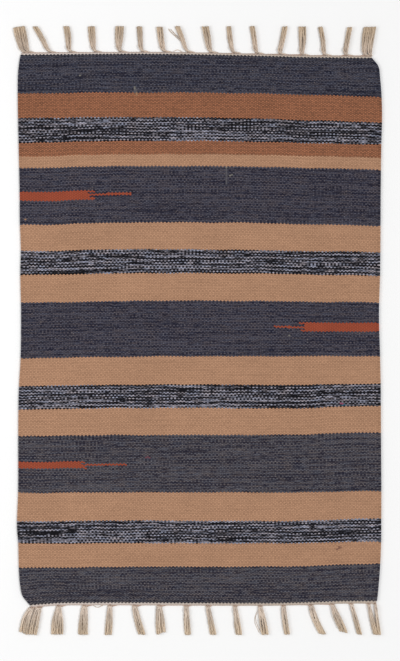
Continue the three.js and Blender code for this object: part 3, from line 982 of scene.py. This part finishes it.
# A bunch's middle line and width: drawn in at the knot, then opening towards the tip
class Bunch:
    def __init__(self, row, end):
        self.knot, self.tip, self.wide, self.root, self.bow, *self.shorter = row
        self.end, self.name = end, endName(end)
        warps = np.arange(1, lastWarp + 1)
        nearest = np.interp(self.knot, warpPlace(warps, pastEnd(end, 0))[0], warps)
        edge = float(warpPlace(nearest, pastEnd(end, 0))[1]) + end * fringe["headingWide"][self.name]
        self.begin = edge + end * fringe["begin"][self.name]
        self.far = end * fringe["trimLine"]
        self.sides = cloth["sides"][-1 if end > 0 else 0][1:]

    def middle(self, t):
        leaning = np.maximum(0, 1 - t / (fringe["sweepLong"] * fringe["neck"])) ** 2
        x = self.knot + (self.tip - self.knot) * t + self.bow * np.sin(math.pi * t)
        x = x + fringe["sweep"][self.name] * leaning
        y = self.begin + (self.far - self.begin) * t
        return together(x, y, 0.0)

    def width(self, t):
        neck = atNeck(t, fringe["drawnIn"][self.name]) * self.root
        opened = np.minimum(1, np.maximum(t - fringe["neck"], 0) / fringe["openedAt"])
        return neck + (self.wide - self.root) * np.sin(0.5 * math.pi * opened)


# The turns of yarn that bind a bunch
knot = {
    "radius": 0.95,
    "low": 0.1,  # clear of the floor
    "rise": 3.9,
    "round": 0.6,  # less is squarer
    "tuck": 0.3,  # how far a turn runs on under the bunch, in radians
    "steps": 18,
    "uneven": 0.1,
    "aimAt": 0.25,  # the place along the bunch that it faces
    # place along the bunch, slant, and share of its width
    "turns": [(0.035, 0.3, 0.7), (0.075, -0.3, 0.72)],
    "lowerTurn": (-0.018, 0.5, 0.3),  # one more below, in shadow on the heading's edge
}


def addKnot(g, draw, bunch):
    radius, tuck, stray = knot["radius"], knot["tuck"], knot["uneven"]
    hand = draw.choice([-1, 1])
    angle = np.linspace(-tuck, math.pi + tuck, knot["steps"])
    ahead = bunch.middle(knot["aimAt"]) - bunch.middle(0.0)
    ahead /= np.linalg.norm(ahead)
    aside = np.cross(ahead, (0, 0, 1))
    turns = [(turn, draw.integers(*twine["knotTiles"])) for turn in knot["turns"]]
    if bunch.name == "lower":
        turns.append((knot["lowerTurn"], twine["fanTiles"][0]))
    for (along, slant, share), tile in turns:
        reach = bunch.width(along) / 2 * share
        shift = (hand * slant + draw.uniform(-stray, stray)) * reach * np.cos(angle)
        loop = bunch.middle(along) + np.cos(angle)[:, None] * aside * reach + shift[:, None] * ahead
        rise = np.maximum(0, np.sin(angle)) ** knot["round"]
        loop[:, 2] = radius + knot["low"] + knot["rise"] * rise
        addPlied(g, draw, loop, radius, tile, ahead)


# The warps that run in close along the heading's edge to the neck of their knot
fan = {
    "radius": 0.5,
    "sides": 6,
    "steps": 8,
    "out": 0.5,  # how far it comes clear of the heading
    "turn": 3.2,  # how near the knot it turns out to it
    "curve": 1.5,
    "rootIn": 0.5,  # how far inside the heading one begins
    "rootHigh": (0.7, 1.8),
    "endFrom": 0.2,  # from the bunch's middle
    "endIn": 0.6,  # from its side
    "endOut": (0.6, 2.0),
    "endHigh": (0.8, 3.0),
    "start": (2, 12),  # the length of yarn in its tile where it begins
}


def addFan(g, draw, bunch, warps):
    end, start = bunch.end, bunch.middle(0.0)
    t = np.linspace(0, 1, fan["steps"])
    x, y = warpPlace(warps, np.full(len(warps), pastEnd(end, heading["rows"][-2][0])))
    ends = fan["endFrom"], bunch.width(0.0) / 2 - fan["endIn"]
    for k in range(len(warps)):
        gap = abs(x[k] - start[0])
        side = np.sign(x[k] - start[0])
        begin = np.array([x[k], y[k] - end * fan["rootIn"], draw.uniform(*fan["rootHigh"])])
        finish = start + (side * draw.uniform(*ends), end * draw.uniform(*fan["endOut"]), 0)
        finish[2] = draw.uniform(*fan["endHigh"])
        neck = np.clip((gap * t - gap + fan["turn"]) / fan["turn"], 0, 1)
        path = begin + (finish - begin) * t[:, None]
        low = begin[1] + end * fan["out"] * (1 - (1 - t) ** 3)
        path[:, 1] = low + (finish[1] - low) * neck ** fan["curve"]
        path[:, 2] = begin[2] + (finish[2] - begin[2]) * neck
        tile = draw.integers(*twine["fanTiles"])
        begun = draw.uniform(*fan["start"])
        addYarn(g, path, fan["radius"], fan["sides"], tile, start=begun)


# Yarns that come along the heading from one side and turn out over the knot into the bunch
hook = {
    "radius": 1.0,
    # for each yarn, how far off it comes from and where across the bunch it goes
    "yarns": {"upper": [(11.0, -0.75), (6.5, -0.1)], "lower": [(4.8, -0.55), (-4.8, 0.5)]},
    # where it begins: share of that way off, how far out from the knot's root, and height
    "start": [(1.0, -0.6, 0.9), (0.5, 0.4, 1.6)],
    # and goes on: place along the bunch, share of the way across, and height
    "path": [(0.03, 0.1, 4.7), (0.085, 0.8, 5.2), (0.17, 1.0, 5.0), (0.27, 0.9, 4.2)],
    "uneven": 0.3,
    "apart": 0.6,  # height of the second over the first
    "inside": 2,  # how near the sides of the cloth one may begin
}


def addHook(g, draw, bunch, reach, goesTo, rise):
    end, start, stray = bunch.end, bunch.middle(0.0), hook["uneven"]
    corners = []
    for k, (share, out, high) in enumerate(hook["start"]):
        corners.append(start + (reach * share, end * out, high + k * rise))
    for t, share, high in hook["path"]:
        across = goesTo * share * bunch.width(t) / 2 + draw.uniform(-stray, stray)
        corners.append(bunch.middle(t) + (across, 0, high + rise))
    addThread(g, draw, corners, hook["radius"], draw.integers(*twine["knotTiles"]))


# A few loose fibres at a cut tip
tipFibre = {
    "count": 2,
    "sides": 3,
    "radius": 0.18,
    "taper": (1.6, 1.1, 0.3),
    "long": (0.5, 1.5),
    "along": (-0.3, 0.35, 1.0),  # its points, in lengths past the tip
    "spread": 0.6,
    "splay": (0.4, 0.5),  # how much of the spread it has at the tip, sideways and up
    "low": 0.3,
    "start": (50, 60),
}


def addFibres(g, draw, tip, ahead):
    wide, (aside, raised) = tipFibre["spread"], tipFibre["splay"]
    for _ in range(tipFibre["count"]):
        reach = draw.uniform(*tipFibre["long"])
        spread = draw.uniform(-wide, wide, 2)
        t = np.array(tipFibre["along"])[:, None]
        path = tip + ahead * reach * t + np.array([spread[0], 0, 0]) * (aside + t)
        path[:, 2] = np.maximum(tipFibre["low"], tip[2] + spread[1] * (raised + t[:, 0]))
        radius = tipFibre["radius"] * np.array(tipFibre["taper"])
        tile, begun = draw.integers(0, twine["strandTiles"]), draw.uniform(*tipFibre["start"])
        addYarn(g, path, radius, tipFibre["sides"], tile, start=begun)


# One strand of a bunch, from the knot to its cut tip
strand = {
    "radius": 1.42,
    "radiusUneven": (0.8, 1.12),
    "atKnot": 0.7,  # share of its thickness that it has in the knot
    "steps": 38,
    "trimSpread": 1.1,  # how much shorter than its neighbours it may be cut
    "trimUneven": (0.7, 1.3),  # and how much of the bunch's own shortening it takes
    "layers": 3,
    "layerRise": (0.8, 1.4),  # at the knot and past it
    "layerShift": 0.25,
    "offFloor": 0.05,
    "wander": 0.45,
    "wanderWaves": ((1.1, 1.0), (2.7, 0.5)),  # waves in its length, and their share
    "wanderGrows": 3,  # how fast that sets in from the knot
    "drift": 0.12,  # share of the bunch's width by which it strays
    "within": 0.52,  # share of the width that it keeps to, on each side of the middle
    "ripple": 0.25,  # up and down, where it doesn't lie on the floor
    "rippleWaves": 1.9,
    "rippleGrows": 4,
    "crimp": {"upper": 0.15, "lower": 0.45},  # the waves that the weaving leaves in it
    "crimps": 6.0,
    "crimpUneven": (0.4, 1.4),
}


def addStrand(g, draw, bunch, place, layer):
    t = np.linspace(0, 1, strand["steps"])
    slim = atNeck(t, strand["atKnot"])
    room = bunch.width(t) - 2 * strand["radius"] * slim
    thick = strand["radius"] * draw.uniform(*strand["radiusUneven"]) * slim
    phase = draw.uniform(0, 2 * math.pi, 4)
    crimp = strand["crimp"][bunch.name] * draw.uniform(*strand["crimpUneven"])
    sway = sum(size * waveAlong(t, waves, at) for (waves, size), at in zip(strand["wanderWaves"], phase))
    sway = strand["wander"] * (sway - sway[0])
    sway += crimp * waveAlong(t, strand["crimps"], phase[2]) * t
    moved = place + draw.uniform(-strand["drift"], strand["drift"]) * t
    most = strand["within"] * room
    path = bunch.middle(t)
    path[:, 0] += np.clip(moved * room + sway * np.minimum(1, strand["wanderGrows"] * t), -most, most)
    cut = np.interp(place, [-0.5, 0.5], bunch.shorter) * draw.uniform(*strand["trimUneven"])
    path[:, 1] -= bunch.end * (cut + draw.uniform(0, strand["trimSpread"])) * t
    ripple = strand["ripple"] * waveAlong(t, strand["rippleWaves"], phase[3])
    ripple = ripple * np.minimum(1, strand["rippleGrows"] * t)
    risen = np.interp(t, [0, 2 * fringe["neck"]], strand["layerRise"])
    path[:, 2] = thick + strand["offFloor"] + layer * risen + ripple * (layer > 0)
    addPlied(g, draw, path, thick, draw.integers(0, twine["strandTiles"]))
    ahead = path[-1] - path[-3]
    addFibres(g, draw, path[-1], ahead / np.linalg.norm(ahead))


def addBunch(g, draw, bunch, warps):
    addFan(g, draw, bunch, warps)
    addKnot(g, draw, bunch)
    left, right = bunch.sides
    inside = hook["inside"]
    for k, (reach, goesTo) in enumerate(hook["yarns"][bunch.name]):
        turned = 1 if left + inside < bunch.knot + reach < right - inside else -1  # comes from over the cloth
        addHook(g, draw, bunch, turned * reach, turned * goesTo, hook["apart"] * k)
    layers = strand["layers"]
    perLayer = [(len(warps) + layers - 1 - layer) // layers for layer in range(layers)]
    for layer, count in enumerate(perLayer):
        shifted = strand["layerShift"] * (-1) ** layer
        for place in np.arange(count) - (count - 1) / 2 + shifted:
            addStrand(g, draw, bunch, place / max(1, perLayer[0] - 1), layer)


# Loose threads that stray from the bunches or along the heading: radius, then points
strays = {
    "upper": [
        (0.68, [(-24, 471, 4.5), (-30, 478.5, 3.0), (-40, 487.5, 1.2), (-49, 496, 0.9), (-51, 500.5, 0.9)]),
        (0.62, [(-26, 476, 4.0), (-33, 483.5, 2.2), (-42, 492.5, 0.9), (-48, 499.5, 0.8)]),
        (0.6, [(-44, 461.5, 2.2), (-39, 464.4, 1.2), (-35.5, 464.9, 0.9), (-32, 463.4, 1.2),
               (-28, 460.8, 2.2)]),
    ],
    "lower": [
        (0.62, [(-182, -452.5, 2.2), (-175, -456, 1), (-169.5, -458.4, 0.8), (-163.7, -456.8, 1),
                (-157, -453, 2.2)]),
        (0.4, [(98, -459.5, 2), (93.8, -469, 0.8), (93, -477, 0.6), (95, -486, 0.6), (99, -495, 0.6),
               (102, -500, 2)]),
        (0.4, [(97, -466, 2), (91.6, -475, 0.6), (92, -485, 0.6), (96, -494, 0.6), (98.5, -500, 0.6)]),
    ],
}


def makeFringe(name, end, rows, threads, seed, material):
    g = Gathering()
    draw = np.random.default_rng(seed)
    wides = np.array([row[2] for row in rows], float)
    bounds = np.round(np.concatenate([[0], np.cumsum(wides)]) / wides.sum() * (lastWarp + 1)).astype(int)
    for row, first, last in zip(rows, bounds[:-1], bounds[1:]):
        addBunch(g, draw, Bunch(row, end), np.arange(first, last) + 0.5)
    for radius, corners in threads:
        addThread(g, draw, np.array(corners, float), radius, draw.integers(*twine["knotTiles"]))
    return g.toPiece(name, material)


# Undyed warp cotton: its colour by the knots, at the cut ends, and in shadow along the heading
warpYarn = {
    "upper": (dye(215, 196, 179), dye(213, 189, 160), dye(196, 168, 150)),
    "lower": (dye(227, 210, 195), dye(224, 201, 173), dye(206, 176, 157)),
    "tipFrom": (8.0, 50.0),  # lengths along a yarn between which the first passes into the second
    # how dark the painted shade in the grooves between the plies makes a yarn
    "groove": 0.86,
    "grooveShadeSpan": (-1.0, 0.3),  # where between a groove and a crest the painted shade of the groove sets in
    "tones": (0.78, 1.08),  # the darkest and the lightest yarn
    "toneSpan": (0.28, 0.72),
    "toneWaves": (3.71, 0.04),  # to a tile and to a millimetre
    "fibre": (9.0, 0.7),  # waves around and along a yarn
    "fibreDetail": 2.0,
    "fibreApart": 17.0,  # waves from one tile to the next
    "fibreTone": (0.92, 1.06),
    "bumpHigh": 0.18,
    "surface": {"Roughness": 0.9, "Specular IOR Level": 0.2, "Sheen Weight": 0.15, "Sheen Roughness": 0.5},
}


def warpMaterial(name):
    paint = Paint("warpYarn_" + name)
    u, v = paint.yarnPlace()
    side, end = twine["tileEdge"]
    long = twine["tileLong"]
    tiled = paint.times(u, float(twine["tiles"]))
    tile = paint.calc("FLOOR", tiled)
    around = paint.timesPlus(paint.less(tiled, tile), 1 / (1 - 2 * side), -side / (1 - 2 * side))
    along = paint.timesPlus(v, long / (1 - 2 * end), -end * long / (1 - 2 * end))
    # painted shade in the grooves between the two plies
    turn = paint.calc("COSINE", paint.times(around, 4 * math.pi))
    plyGrooveShade = paint.stretch(turn, *warpYarn["grooveShadeSpan"], warpYarn["groove"], 1.0)
    tone = paint.noise(tile, along, warpYarn["toneWaves"])
    aroundWaves, alongWaves = warpYarn["fibre"]
    fibreSpot = paint.timesPlus(around, aroundWaves, paint.times(tile, warpYarn["fibreApart"]))
    fibre = paint.noise(fibreSpot, along, (1, alongWaves), warpYarn["fibreDetail"])
    level = paint.times(plyGrooveShade, paint.stretch(tone, *warpYarn["toneSpan"], *warpYarn["tones"]))
    level = paint.times(level, paint.stretch(fibre, *paint.noiseSpan, *warpYarn["fibreTone"]))
    cream, tip, shadow = warpYarn[name]
    colour = paint.mixed(paint.stretch(along, *warpYarn["tipFrom"]), cream, tip)
    inFan = paint.calc("GREATER_THAN", tile, twine["fanTiles"][0] - 0.5)
    colour = paint.mixed(inFan, colour, shadow)
    return paint.finish(paint.shaded(colour, level), fibre, warpYarn)


wovenCloth = makeCloth()
print("cloth woven")
creamWeft = headingMaterial()
headingTop = makeHeading("heading_upper", 1, creamWeft)
headingBottom = makeHeading("heading_lower", -1, creamWeft)
strandsTop = makeFringe("strands_upper", 1, bunches["upper"], strays["upper"], 21, warpMaterial("upper"))
strandsBottom = makeFringe("strands_lower", -1, bunches["lower"], strays["lower"], 22, warpMaterial("lower"))
print("headings and fringes made")

for piece, node, slot in (
    (wovenCloth, "woven_body", "woven_cotton"),
    (headingTop, "fringe_top", "warp_cotton"),
    (headingBottom, "fringe_bottom", "warp_cotton"),
    (strandsTop, "fringe_top", "warp_cotton"),
    (strandsBottom, "fringe_bottom", "warp_cotton"),
):
    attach(piece, "root")
    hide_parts(node)
print("pieces ride on the rug's body")
